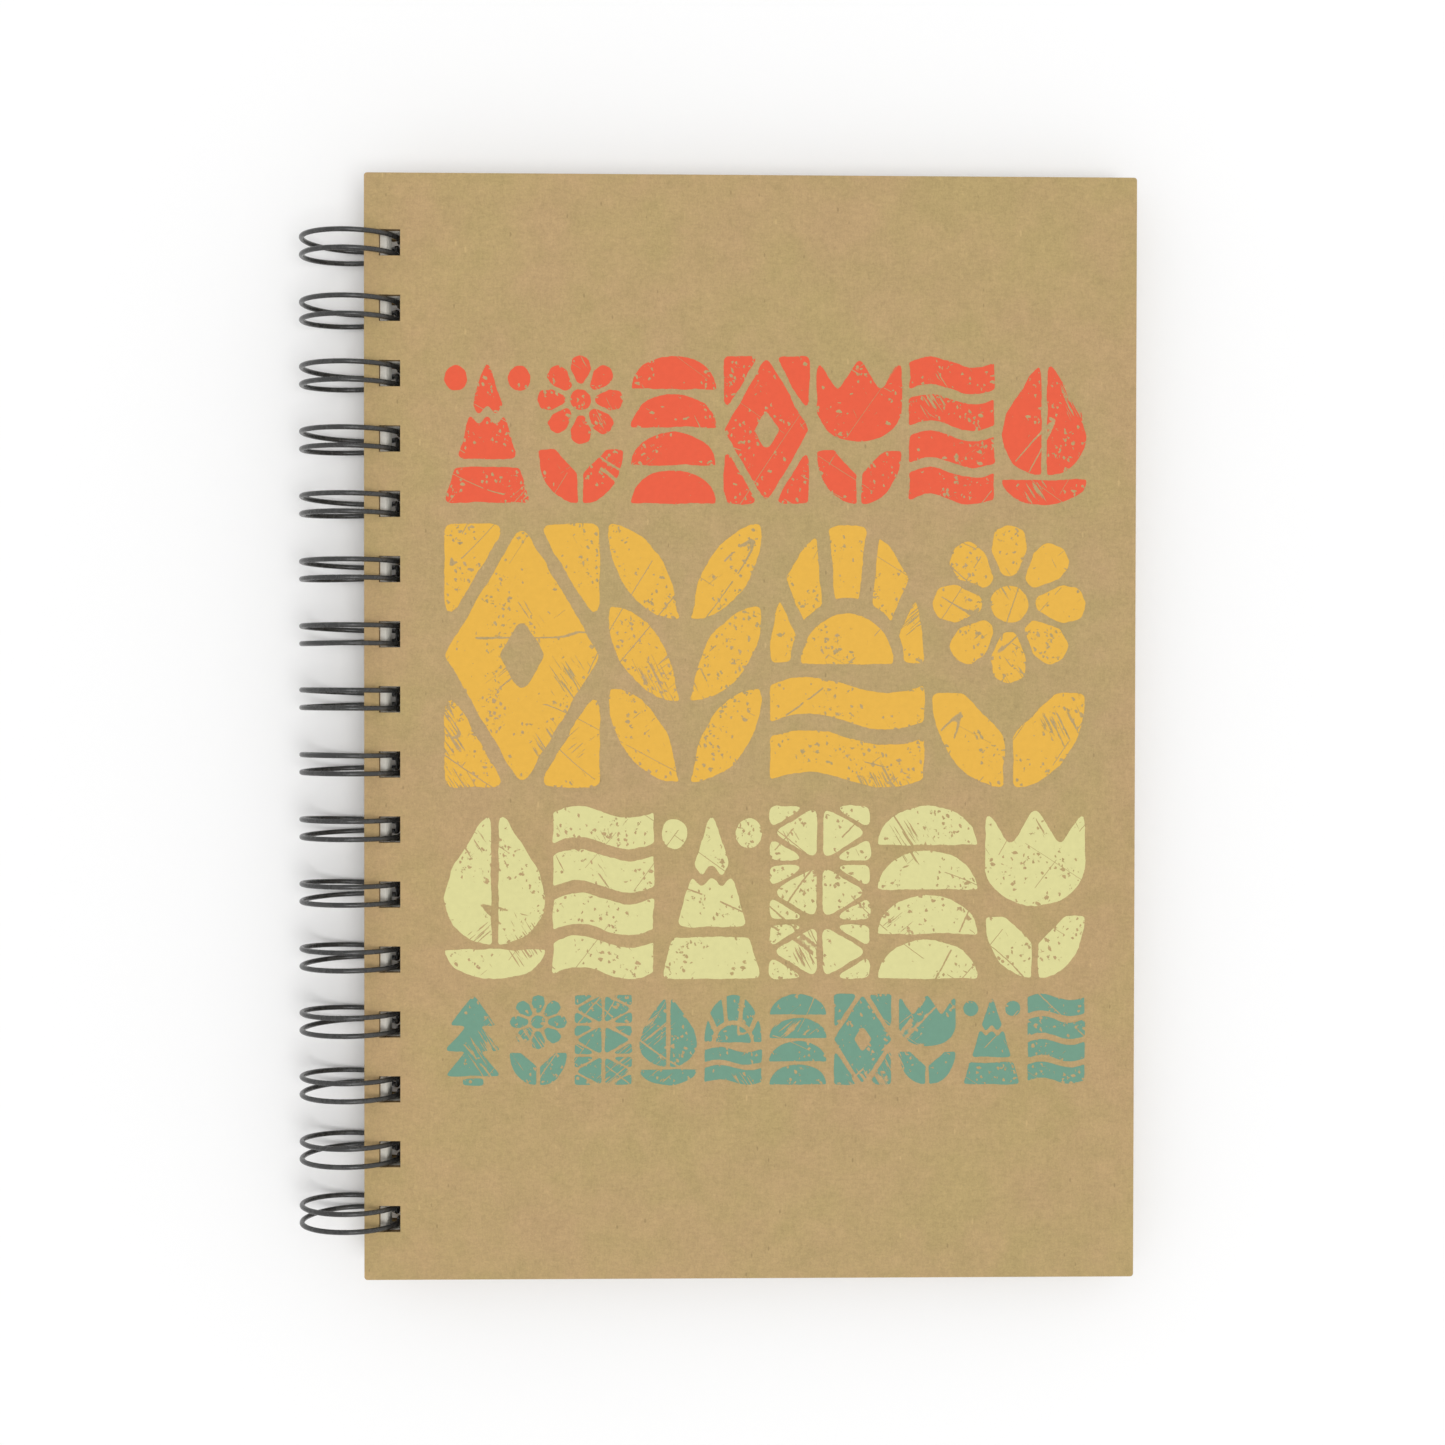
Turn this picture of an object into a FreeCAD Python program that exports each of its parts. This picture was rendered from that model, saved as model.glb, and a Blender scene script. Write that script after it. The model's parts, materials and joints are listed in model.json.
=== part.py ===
"""Wire-bound sketchbook: two laminated covers and 40 loose leaves on a twin-loop wire.

The book is drawn flat in its own axes: X runs from the covers' spine edges to the fore edge, Y to the
head, and Z through the thickness from the middle of the closed book. One placement, the seat, then lays
every piece down as it lies on a table, resting on the loops and on the back cover's fore edge. The
origin is the middle of the footprint, on the table, with the front cover facing up.
"""

import FreeCAD, Part
import math
import os

import Sketcher
from FreeCAD import Placement, Rotation, Vector

DIMENSIONS = {
    "cover_width": 151.0,
    "cover_length": 216.0,
    "facing_caliper": 0.3,
    "board_caliper": 1.5,
    "lining_caliper": 0.2,
    "book_thickness": 12.0,
    "sheet_width": 148.0,
    "sheet_length": 210.0,
    "sheet_caliper": 0.16,
    "sheet_air": 0.005,
    "sheet_slide": 1.3,
    "sheet_count": 40,
    "rest_gap": 0.05,
    "hole_width": 4.1,
    "hole_length": 5.1,
    "hole_margin": 2.9,
    "hole_shift": -0.8,
    "loop_count": 16,
    "loop_pitch": 12.7,
    "loop_radius": 9.6,
    "loop_setback": 3.4,
    "wire_diameter": 1.0,
    "twin_spacing": 3.5,
    "tip_spacing": 2.0,
    "bend_radius": 1.0,
    "stub_length": 1.5,
    "root_angle": -14.8,
    "taper_angle": 150.0,
}

AXIS_Y = Vector(0, 1, 0)
AXIS_Z = Vector(0, 0, 1)


def driving_sheet(document):
    """Put every driving dimension in a cell of its own, under its name."""
    sheet = document.addObject("Spreadsheet::Sheet", "dimensions")
    for row, (name, value) in enumerate(DIMENSIONS.items(), start=1):
        sheet.set(f"A{row}", name)
        sheet.set(f"B{row}", str(value))
        sheet.setAlias(f"B{row}", name)
    document.recompute()
    return sheet


def cover_caliper(sheet):
    return sheet.facing_caliper + sheet.board_caliper + sheet.lining_caliper


def loop_places(sheet):
    """The middle of each twin loop along the spine, from the head down."""
    first = sheet.hole_shift + sheet.loop_pitch * (sheet.loop_count - 1) / 2
    return [first - sheet.loop_pitch * index for index in range(int(sheet.loop_count))]


def loops_turn(sheet, angle):
    """A turn in degrees about the loops' centre line, which brings the fore edge down."""
    centre = Vector(-sheet.loop_setback, 0, 0)
    return Placement(Vector(), Rotation(AXIS_Y, angle), centre)


def seat(sheet):
    """Lay the flat book down on its loops and on the back cover's fore edge.

    The tilt about the loops' centre brings the fore edge's underside, reach away and half the
    thickness down, to the same level as the lowest point of the loops.
    """
    outer = sheet.loop_radius + sheet.wire_diameter / 2
    reach = sheet.loop_setback + sheet.cover_width
    half = sheet.book_thickness / 2
    tilt = math.degrees(math.asin(outer / math.hypot(reach, half)) - math.atan2(half, reach))
    top_turn = math.radians(tilt + lean_angle(sheet))
    right = reach * math.cos(top_turn) + half * math.sin(top_turn)
    lift = Placement(Vector(sheet.loop_setback + (outer - right) / 2, 0, outer), Rotation())
    return lift * loops_turn(sheet, tilt)


def lean_angle(sheet):
    """How far the leaves and the front cover lean, so that the last leaf meets the back cover.

    The wire's bars hold the last leaf off the back cover at the spine, and the gap closes at the
    fore edge.
    """
    stack = sheet.sheet_count * (sheet.sheet_caliper + sheet.sheet_air)
    seam = sheet.book_thickness - 2 * cover_caliper(sheet) - stack
    reach = sheet.loop_setback + sheet.sheet_slide + sheet.sheet_width
    return math.degrees(math.asin((seam - sheet.rest_gap) / reach))


def origin_plane(body, role):
    for feature in body.Origin.OriginFeatures:
        if feature.Role == role:
            return feature
    raise ValueError(f"{body.Label} has no {role}")


def rectangle_sketch(body, name, spans):
    """A rectangle on the body's XY plane whose four edges are bound to the sheet.

    spans gives, for the left edge, width, lower edge and length, an expression in the sheet's aliases.
    """
    sketch = body.newObject("Sketcher::SketchObject", name)
    sketch.AttachmentSupport = [(origin_plane(body, "XY_Plane"), "")]
    sketch.MapMode = "FlatFace"
    corners = [Vector(1, 1, 0), Vector(9, 1, 0), Vector(9, 8, 0), Vector(1, 8, 0)]
    for start, end in zip(corners, corners[1:] + corners[:1]):
        sketch.addGeometry(Part.LineSegment(start, end))
    for edge in range(4):
        sketch.addConstraint(Sketcher.Constraint("Coincident", edge, 2, (edge + 1) % 4, 1))
    for edge in (0, 2):
        sketch.addConstraint(Sketcher.Constraint("Horizontal", edge))
    for edge in (1, 3):
        sketch.addConstraint(Sketcher.Constraint("Vertical", edge))
    bound = {
        "left": Sketcher.Constraint("DistanceX", -1, 1, 0, 1, 1.0),
        "width": Sketcher.Constraint("DistanceX", 0, 1, 0, 2, 8.0),
        "lower": Sketcher.Constraint("DistanceY", -1, 1, 0, 1, 1.0),
        "length": Sketcher.Constraint("DistanceY", 1, 1, 1, 2, 7.0),
    }
    for label, constraint in bound.items():
        index = sketch.addConstraint(constraint)
        sketch.renameConstraint(index, label)
        sketch.setExpression(f"Constraints.{label}", spans[label])
    return sketch


def cover_ply(document, name, caliper, base, placement):
    """One ply of a cover: a padded rectangle with the row of punched holes."""
    body = document.addObject("PartDesign::Body", name)
    body.Label = name
    outline = rectangle_sketch(
        body,
        f"{name}_outline",
        {
            "left": "0",
            "width": "dimensions.cover_width",
            "lower": "-dimensions.cover_length / 2",
            "length": "dimensions.cover_length",
        },
    )
    pad = body.newObject("PartDesign::Pad", f"{name}_blank")
    pad.Profile = outline
    pad.setExpression("Length", f"dimensions.{caliper}")
    hole = rectangle_sketch(
        body,
        f"{name}_hole",
        {
            "left": "dimensions.hole_margin",
            "width": "dimensions.hole_width",
            "lower": "dimensions.hole_shift - dimensions.hole_length / 2"
            " - dimensions.loop_pitch * (dimensions.loop_count - 1) / 2",
            "length": "dimensions.hole_length",
        },
    )
    pocket = body.newObject("PartDesign::Pocket", f"{name}_first_hole")
    pocket.Profile = hole
    pocket.Type = "ThroughAll"
    pocket.Reversed = True
    row = body.newObject("PartDesign::LinearPattern", f"{name}_holes")
    row.Originals = [pocket]
    row.Direction = (hole, ["V_Axis"])
    row.setExpression("Length", "dimensions.loop_pitch * (dimensions.loop_count - 1)")
    row.setExpression("Occurrences", "dimensions.loop_count")
    body.Tip = row
    body.Placement = placement * Placement(AXIS_Z * base, Rotation())
    return body


def cover(document, sheet, side, placement):
    """The three plies of one cover, from the outside in; side is 1 for the front and -1 for the back."""
    word = "front" if side > 0 else "back"
    outside = sheet.book_thickness / 2
    plies = []
    for ply in ("facing", "board", "lining"):
        caliper = getattr(sheet, f"{ply}_caliper")
        base = outside - caliper if side > 0 else -outside
        plies.append(cover_ply(document, f"{word}_cover_{ply}", f"{ply}_caliper", base, placement))
        outside -= caliper
    return plies


def punch_comb(document, sheet):
    """The row of rectangular punches that cuts every leaf, slid off the spine edge as the leaves are."""
    punches = []
    for index, middle in enumerate(loop_places(sheet), start=1):
        punch = document.addObject("Part::Box", f"punch_{index:02d}")
        punch.setExpression("Length", "dimensions.hole_width")
        punch.setExpression("Width", "dimensions.hole_length")
        punch.setExpression("Height", "dimensions.book_thickness")
        left = sheet.sheet_slide + sheet.hole_margin
        corner = Vector(left, middle - sheet.hole_length / 2, -sheet.book_thickness / 2)
        punch.Placement = Placement(corner, Rotation())
        punches.append(punch)
    comb = document.addObject("Part::Compound", "punch_comb")
    comb.Links = punches
    return comb


def leaf(document, sheet, number, comb, placement):
    """One loose leaf: a blank of paper at its height in the stack, cut by the punches."""
    step = sheet.sheet_caliper + sheet.sheet_air
    under_cover = sheet.book_thickness / 2 - cover_caliper(sheet)
    blank = document.addObject("Part::Box", f"blank_{number:02d}")
    blank.setExpression("Length", "dimensions.sheet_width")
    blank.setExpression("Width", "dimensions.sheet_length")
    blank.setExpression("Height", "dimensions.sheet_caliper")
    corner = Vector(sheet.sheet_slide, -sheet.sheet_length / 2, under_cover - number * step)
    blank.Placement = Placement(corner, Rotation())
    cut = document.addObject("Part::Cut", f"sheet_{number:02d}")
    cut.Base = blank
    cut.Tool = comb
    cut.Label = f"sheet_{number:02d}"
    cut.Placement = placement
    return cut


def round_point(sheet, angle, across):
    """A point on the loop's centre line at an angle from +X towards +Z, and its direction of travel."""
    turn = math.radians(angle)
    outward = Vector(math.cos(turn), 0, math.sin(turn))
    travel = Vector(-math.sin(turn), 0, math.cos(turn))
    return outward * sheet.loop_radius + AXIS_Y * across, travel


def arc_through(start, middle, end):
    return Part.Arc(start, middle, end).toShape()


def half_loop(sheet, side, bar_length):
    """The path of one wire of a twin loop, from the middle of its bar to its half of the tip.

    side is 1 towards the head and -1 towards the tail. The bar runs along the spine, bends up through
    the leaves, keeps its distance from its twin over the top, and closes in on it towards the tip.
    """
    wide = side * sheet.twin_spacing / 2
    narrow = side * sheet.tip_spacing / 2
    bend = sheet.bend_radius
    rise, rise_way = round_point(sheet, sheet.root_angle, wide)
    bar_end = rise - rise_way * bend + AXIS_Y * side * bend
    bar_start = bar_end + AXIS_Y * side * bar_length
    slant = math.sqrt(0.5)
    bend_middle = rise + AXIS_Y * side * bend * (1 - slant) - rise_way * bend * slant
    over, _ = round_point(sheet, (sheet.root_angle + sheet.taper_angle) / 2, wide)
    taper, _ = round_point(sheet, sheet.taper_angle, wide)
    halfway, _ = round_point(sheet, sheet.taper_angle + 90, (wide + narrow) / 2)
    close, close_way = round_point(sheet, sheet.taper_angle + 180, narrow)
    nose = close - AXIS_Y * narrow * (1 - slant) + close_way * abs(narrow) * slant
    tip = close - AXIS_Y * narrow + close_way * abs(narrow)
    return [
        Part.LineSegment(bar_start, bar_end).toShape(),
        arc_through(bar_end, bend_middle, rise),
        arc_through(rise, over, taper),
        arc_through(taper, halfway, close),
        arc_through(close, nose, tip),
    ]


def twin_loop(sheet, head_bar, tail_bar):
    """One twin loop as a solid, with the stretch of bar that belongs to it on either side."""
    head = half_loop(sheet, 1, head_bar)
    tail = half_loop(sheet, -1, tail_bar)
    spine = Part.Wire(head + tail[::-1])
    start = head[0].Vertexes[0].Point
    section = Part.Wire(Part.Circle(start, AXIS_Y, sheet.wire_diameter / 2).toShape())
    return spine.makePipeShell([section], True, False)


def binding_wire(document, sheet, placement):
    """The whole wire: its loops meet face to face halfway along the bars between them."""
    places = loop_places(sheet)
    half_bar = (sheet.loop_pitch - sheet.twin_spacing) / 2 - sheet.bend_radius
    loops = []
    for index, middle in enumerate(places):
        head_bar = sheet.stub_length if index == 0 else half_bar
        tail_bar = sheet.stub_length if index == len(places) - 1 else half_bar
        loop = twin_loop(sheet, head_bar, tail_bar)
        loop.translate(Vector(-sheet.loop_setback, middle, 0))
        loops.append(loop)
    wire = document.addObject("Part::Feature", "twin_loop_wire")
    wire.Label = "twin_loop_wire"
    wire.Shape = Part.Compound(loops)
    wire.Placement = placement
    return wire


def check(document, parts):
    """Stop if any object failed to recompute, or any sub-part has no valid shape."""
    for item in document.Objects:
        faults = {"Invalid", "Error"} & set(item.State)
        if faults:
            raise RuntimeError(f"{item.Label} is {', '.join(faults)}")
    for item in parts:
        if item.Shape.isNull() or not item.Shape.isValid():
            raise RuntimeError(f"{item.Label} has no valid shape")


def check_punching(sheet, parts):
    """Stop if a punched piece's volume isn't its blank less every hole."""
    hole = sheet.hole_width * sheet.hole_length * sheet.loop_count
    cover_face = sheet.cover_width * sheet.cover_length - hole
    sheet_face = sheet.sheet_width * sheet.sheet_length - hole
    for item in parts:
        ply = item.Label.rsplit("_", 1)[-1]
        is_leaf = item.Label.startswith("sheet_")
        caliper = sheet.sheet_caliper if is_leaf else getattr(sheet, f"{ply}_caliper")
        expected = caliper * (sheet_face if is_leaf else cover_face)
        if abs(item.Shape.Volume - expected) > 1e-6 * expected:
            raise RuntimeError(f"{item.Label} holds {item.Shape.Volume:.2f}, not {expected:.2f} mm3")


def main():
    document = FreeCAD.newDocument("sketchbook")
    sheet = driving_sheet(document)
    seated = seat(sheet)
    leaning = seated * loops_turn(sheet, lean_angle(sheet))
    comb = punch_comb(document, sheet)
    punched = cover(document, sheet, 1, leaning)
    for number in range(1, int(sheet.sheet_count) + 1):
        punched.append(leaf(document, sheet, number, comb, leaning))
    punched += cover(document, sheet, -1, seated)
    wire = binding_wire(document, sheet, seated)
    document.recompute()
    check(document, punched + [wire])
    check_punching(sheet, punched)
    os.makedirs("parts", exist_ok=True)
    for item in punched + [wire]:
        item.Shape.exportStep(f"parts/{item.Label}.step")
    box = Part.Compound([item.Shape for item in punched + [wire]]).optimalBoundingBox()
    centre = seated.multVec(Vector(-sheet.loop_setback, 0, 0))
    print(f"{len(punched) + 1} nodes, Z from {box.ZMin:.4f} to {box.ZMax:.4f} mm")
    print(f"X from {box.XMin:.3f} to {box.XMax:.3f}, loops' centre at {centre.x:.6f}, {centre.z:.6f}")


main()
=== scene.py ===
"""The looks of a wire-bound kraft sketchbook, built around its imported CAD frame.

Every piece is drawn flat in the book's own axes: X from the loops' centre line to the fore edge, Y to the
head and Z through the thickness. A seat matrix, read from the frame, then lays it where the CAD node lies.
"""

import json
import math
import random

import bmesh
import bpy
from bpy.props import FloatProperty, FloatVectorProperty, IntProperty, PointerProperty
from bpy.types import Operator, Panel, PropertyGroup
from mathutils import Matrix, Vector, noise

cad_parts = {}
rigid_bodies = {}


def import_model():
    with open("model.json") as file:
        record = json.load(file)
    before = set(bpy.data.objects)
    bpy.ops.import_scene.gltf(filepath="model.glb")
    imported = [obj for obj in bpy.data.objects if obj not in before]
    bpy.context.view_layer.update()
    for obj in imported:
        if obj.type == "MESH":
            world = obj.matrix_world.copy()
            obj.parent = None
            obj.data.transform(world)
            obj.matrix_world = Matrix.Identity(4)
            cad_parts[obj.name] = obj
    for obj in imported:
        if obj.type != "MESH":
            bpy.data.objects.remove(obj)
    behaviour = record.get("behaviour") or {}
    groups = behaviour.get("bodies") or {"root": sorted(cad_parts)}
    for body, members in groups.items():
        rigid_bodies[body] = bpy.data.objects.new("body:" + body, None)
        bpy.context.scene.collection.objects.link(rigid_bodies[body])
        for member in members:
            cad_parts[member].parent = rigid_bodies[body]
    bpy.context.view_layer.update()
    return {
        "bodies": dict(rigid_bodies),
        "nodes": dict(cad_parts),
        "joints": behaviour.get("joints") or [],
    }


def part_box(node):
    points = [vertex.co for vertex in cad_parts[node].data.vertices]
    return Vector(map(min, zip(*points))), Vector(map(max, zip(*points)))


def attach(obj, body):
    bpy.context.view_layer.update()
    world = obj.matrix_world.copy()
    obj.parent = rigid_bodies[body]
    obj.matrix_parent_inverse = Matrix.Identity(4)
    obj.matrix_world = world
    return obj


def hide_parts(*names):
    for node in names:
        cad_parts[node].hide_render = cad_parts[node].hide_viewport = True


bl_info = {
    "name": "Wire-bound Sketchbook",
    "version": (1, 0, 0),
    "blender": (4, 5, 0),
    "location": "3D View > Sidebar > Sketchbook",
    "description": "Builds the covers, leaves, twin-loop wire and print of a kraft sketchbook",
    "category": "Add Mesh",
}

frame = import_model()
LOOP_CENTRE = Vector(frame["joints"][0]["pos_m"])
LEAF_BODIES = sorted(name for name in frame["bodies"] if name.startswith("sheet_"))
PLIES = ("facing", "board", "lining")
PLACE = "book_place"
TONE = "leaf_tone"
MM = 0.001


def linear(red, green, blue):
    """A colour given as everyday 8-bit values, as the light it reflects."""
    shares = (channel / 255 for channel in (red, green, blue))
    return tuple(s / 12.92 if s <= 0.04045 else ((s + 0.055) / 1.055) ** 2.4 for s in shares)


# ---------------------------------------------------------------- settings


def length(name, description, default):
    """A size of the book, in metres."""
    return FloatProperty(name=name, description=description, default=default, min=0, unit="LENGTH",
                         subtype="DISTANCE", precision=5)


def colour(name, description, default):
    return FloatVectorProperty(name=name, description=description, default=default, min=0, max=1,
                               subtype="COLOR", size=3)


class CoverSettings(PropertyGroup):
    kraft: colour("Kraft", "Colour of the kraft paper that faces the covers", linear(175, 150, 105))
    board: colour("Board", "Colour of the board's cut edges", linear(150, 124, 88))
    corner: length("Corner", "Radius of the covers' corners seen from above", 0.6 * MM)
    rim: length("Rim", "Rounding of each ply's cut rim", 0.07 * MM)


class LeafSettings(PropertyGroup):
    paper: colour("Paper", "Colour of the drawing paper", linear(233, 230, 220))
    stagger: length("Stagger", "How far a leaf may lie off the stack, within the slack of its holes",
                    0.14 * MM)
    wave: length("Wave", "How far a leaf may rise or dip over its width", 0.012 * MM)
    thinning: length("Thinning", "Taken off each leaf so that air shows between the leaves", 0.03 * MM)
    corner: length("Corner", "Radius of the leaves' corners seen from above", 0.4 * MM)
    rim: length("Rim", "Rounding of each leaf's cut rim", 0.02 * MM)
    seed: IntProperty(name="Seed", description="Start of the leaves' random lie", default=7)


class WireSettings(PropertyGroup):
    coating: colour("Coating", "Colour of the wire's coating", linear(50, 50, 49))
    steel: colour("Steel", "Colour of the wire's cut ends", linear(170, 170, 172))
    diameter: length("Diameter", "Thickness of the wire", 1.0 * MM)
    twin: length("Twin spacing", "Distance between a loop's two wires at the front", 3.5 * MM)
    tip: length("Tip spacing", "Distance between a loop's two wires at its tip", 2.0 * MM)
    bend: length("Bend", "Radius of the bends beside the bars", 1.0 * MM)
    stub: length("Stub", "Straight wire past the outermost bends", 1.5 * MM)
    sway: length("Sway", "How far a loop may lean along the spine", 0.1 * MM)
    seed: IntProperty(name="Seed", description="Start of the loops' random lean", default=3)


class PrintSettings(PropertyGroup):
    coral: colour("Coral", "Ink of the first row", linear(222, 86, 54))
    amber: colour("Amber", "Ink of the second row", linear(220, 170, 62))
    straw: colour("Straw", "Ink of the third row", linear(209, 204, 142))
    teal: colour("Teal", "Ink of the fourth row", linear(104, 146, 125))
    left: length("Left", "From the spine edge to the print", 15.6 * MM)
    right: length("Right", "From the spine edge to the print's far side", 141.2 * MM)
    film: length("Film", "Thickness of the ink", 0.03 * MM)
    ragged: length("Ragged", "How far the ink's outline wanders", 0.3 * MM)


class StageSettings(PropertyGroup):
    floor: colour("Floor", "Colour of the floor", (0.9, 0.9, 0.9))
    rim: FloatProperty(name="Horizon", description="Brightness of the sky at the horizon", default=1.02)
    zenith: FloatProperty(name="Zenith", description="Brightness of the sky overhead", default=0.66)
    key: FloatProperty(name="Key", description="Strength of the soft light from the fore edge", default=1.16)
    spread: FloatProperty(name="Key spread", description="How wide the key light looks from the book",
                          default=math.radians(26), subtype="ANGLE")
    camera_height: length("Camera height", "Height of the camera over the floor", 0.4407)


class SketchbookSettings(PropertyGroup):
    covers: PointerProperty(type=CoverSettings, name="Covers", description="The two laminated covers")
    leaves: PointerProperty(type=LeafSettings, name="Leaves", description="The loose leaves")
    wire: PointerProperty(type=WireSettings, name="Wire", description="The twin-loop wire")
    ink: PointerProperty(type=PrintSettings, name="Print", description="The rows printed on the front")
    stage: PointerProperty(type=StageSettings, name="Stage", description="Floor, light and camera")


# ---------------------------------------------------------------- node graphs


class Socket:
    """An output of a node. Arithmetic on it adds Math nodes to its tree."""

    def __init__(self, graph, output):
        self.graph = graph
        self.output = output

    def math(self, operation, *others):
        return self.graph.add("ShaderNodeMath", {"operation": operation}, dict(enumerate((self, *others))))

    def __add__(self, other):
        return self.math("ADD", other)

    def __sub__(self, other):
        return self.math("SUBTRACT", other)

    def __rsub__(self, other):
        return self.graph.add("ShaderNodeMath", {"operation": "SUBTRACT"}, {0: other, 1: self})

    def __mul__(self, other):
        return self.math("MULTIPLY", other)

    def __truediv__(self, other):
        return self.math("DIVIDE", other)

    def __gt__(self, other):
        return self.math("GREATER_THAN", other)

    def __lt__(self, other):
        return self.math("LESS_THAN", other)

    __radd__ = __add__
    __rmul__ = __mul__


class Graph:
    """A node tree being built."""

    def __init__(self, tree):
        self.tree = tree

    def add(self, kind, settings=None, sockets=None, output=0):
        """Add a node: its settings first, then its sockets' values or links. Returns one output."""
        node = self.tree.nodes.new(kind)
        for name, value in (settings or {}).items():
            setattr(node, name, value)
        for key, value in (sockets or {}).items():
            if isinstance(value, Socket):
                self.tree.links.new(value.output, node.inputs[key])
            else:
                node.inputs[key].default_value = value
        return Socket(self, node.outputs[output]) if node.outputs else None

    def ramp(self, value, low, high):
        """0 below low, 1 above high, and straight between."""
        return self.add("ShaderNodeMapRange", {"clamp": True},
                        {"Value": value, "From Min": low, "From Max": high})

    def mix(self, share, first, second):
        """A colour between two, each a socket or three numbers."""
        ends = [c if isinstance(c, Socket) else (*c, 1) for c in (first, second)]
        return self.add("ShaderNodeMix", {"data_type": "RGBA"}, {0: share, 6: ends[0], 7: ends[1]}, 2)

    def stretch(self, vector, scale):
        """The vector with each axis multiplied by its own number."""
        return self.add("ShaderNodeVectorMath", {"operation": "MULTIPLY"}, {0: vector, 1: scale})

    def noise(self, vector, scale, detail=2.0, roughness=0.5, distortion=0.0):
        """Smooth noise from 0 to 1, with scale as its waves to each unit of the vector."""
        return self.add("ShaderNodeTexNoise", None, {
            "Vector": vector, "Scale": scale, "Detail": detail, "Roughness": roughness,
            "Distortion": distortion,
        })


def new_material(name):
    """An empty material and the graph to fill it with."""
    material = bpy.data.materials.new(name)
    material.use_nodes = True
    material.node_tree.nodes.clear()
    return material, Graph(material.node_tree)


# The shader's sockets that hold one number all over a surface, by the words used for them here.
CONSTANTS = {"specular": "Specular IOR Level", "metallic": "Metallic"}


def finish_material(material, graph, base, roughness, height, depth, **constants):
    """Join a surface's colour, roughness and height to a shader; depth is the bump's, in metres."""
    normal = graph.add("ShaderNodeBump", None, {"Strength": 1.0, "Distance": depth, "Height": height})
    sockets = {"Base Color": base, "Roughness": roughness, "Normal": normal}
    sockets.update({CONSTANTS[name]: value for name, value in constants.items()})
    shader = graph.add("ShaderNodeBsdfPrincipled", None, sockets)
    graph.add("ShaderNodeOutputMaterial", None, {"Surface": shader})
    return material


def book_millimetres(graph):
    """The point on the surface in the book's own axes, in millimetres."""
    place = graph.add("ShaderNodeAttribute", {"attribute_name": PLACE}, None, 1)
    return graph.stretch(place, (1 / MM, 1 / MM, 1 / MM))


# ---------------------------------------------------------------- materials


def flecks(graph, place, size, share, reach, core=0.6):
    """Marks in cells of a given size in millimetres: reach is a mark's share of its cell."""
    sockets = {"Vector": place, "Scale": 1 / size}
    near = graph.add("ShaderNodeTexVoronoi", None, sockets, 0)
    chance = graph.add("ShaderNodeTexVoronoi", None, sockets, 1)
    lot = graph.add("ShaderNodeSeparateColor", None, {0: chance}, 0)
    return (1 - graph.ramp(near, reach * core, reach)) * (lot > 1 - share)


def kraft_surface(graph, place, kraft):
    """Colour and height of kraft paper: soft blotches, fibres along the spine, dark and pale flecks."""
    green = tuple(channel * tint for channel, tint in zip(kraft, (0.975, 1.012, 0.955)))
    rose = tuple(channel * tint for channel, tint in zip(kraft, (1.025, 0.985, 1.045)))
    blotch = graph.ramp(graph.noise(place, 0.055, 4.0, 0.62), 0.36, 0.64)
    base = graph.mix(blotch, green, rose)
    fibre = graph.noise(graph.stretch(place, (1.9, 0.75, 1.9)), 1.0, 4.0, 0.7, 0.6)
    cross = graph.noise(graph.stretch(place, (0.75, 1.7, 1.7)), 1.0, 3.0, 0.6, 0.6)
    tooth = graph.noise(place, 3.2, 3.0, 0.65)
    cloud = graph.noise(place, 0.22, 3.0, 0.6)
    shade = 1 + (fibre - 0.5) * 0.34 + (cross - 0.5) * 0.3 + (tooth - 0.5) * 0.34 + (cloud - 0.5) * 0.2
    grey = graph.add("ShaderNodeCombineColor", None, {0: shade, 1: shade, 2: shade})
    base = graph.add("ShaderNodeMix", {"data_type": "RGBA", "blend_type": "MULTIPLY"},
                     {0: 1.0, 6: base, 7: grey}, 2)
    dark = flecks(graph, graph.stretch(place, (1.0, 0.42, 1.0)), 1.1, 0.045, 0.2)
    pale = flecks(graph, graph.stretch(place, (0.9, 0.3, 0.9)), 1.6, 0.07, 0.14)
    base = graph.mix(dark * 0.42, base, tuple(channel * 0.45 for channel in kraft))
    base = graph.mix(pale * 0.35, base, tuple(min(1, channel * 1.5) for channel in kraft))
    return base, fibre * 0.6 + tooth * 0.4


def kraft_material(name, kraft):
    """Bare kraft paper."""
    material, graph = new_material(name)
    base, height = kraft_surface(graph, book_millimetres(graph), kraft)
    roughness = 0.78 + height * 0.14
    return finish_material(material, graph, base, roughness, height, 0.00006, specular=0.3)


def board_material(board):
    """Pulp board: thin layers seen edge on, with torn fibres."""
    material, graph = new_material("pulp_board")
    place = book_millimetres(graph)
    layer = graph.noise(graph.stretch(place, (0.25, 0.25, 7.0)), 1.0, 4.0, 0.7, 0.3)
    fibre = graph.noise(graph.stretch(place, (2.0, 2.0, 6.0)), 1.0, 3.0, 0.6)
    tone = graph.ramp(layer * 0.65 + fibre * 0.35, 0.3, 0.7)
    base = graph.mix(tone, tuple(c * 0.62 for c in board), tuple(min(1, c * 1.3) for c in board))
    return finish_material(material, graph, base, 0.9, tone, 0.00012, specular=0.2)


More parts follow.
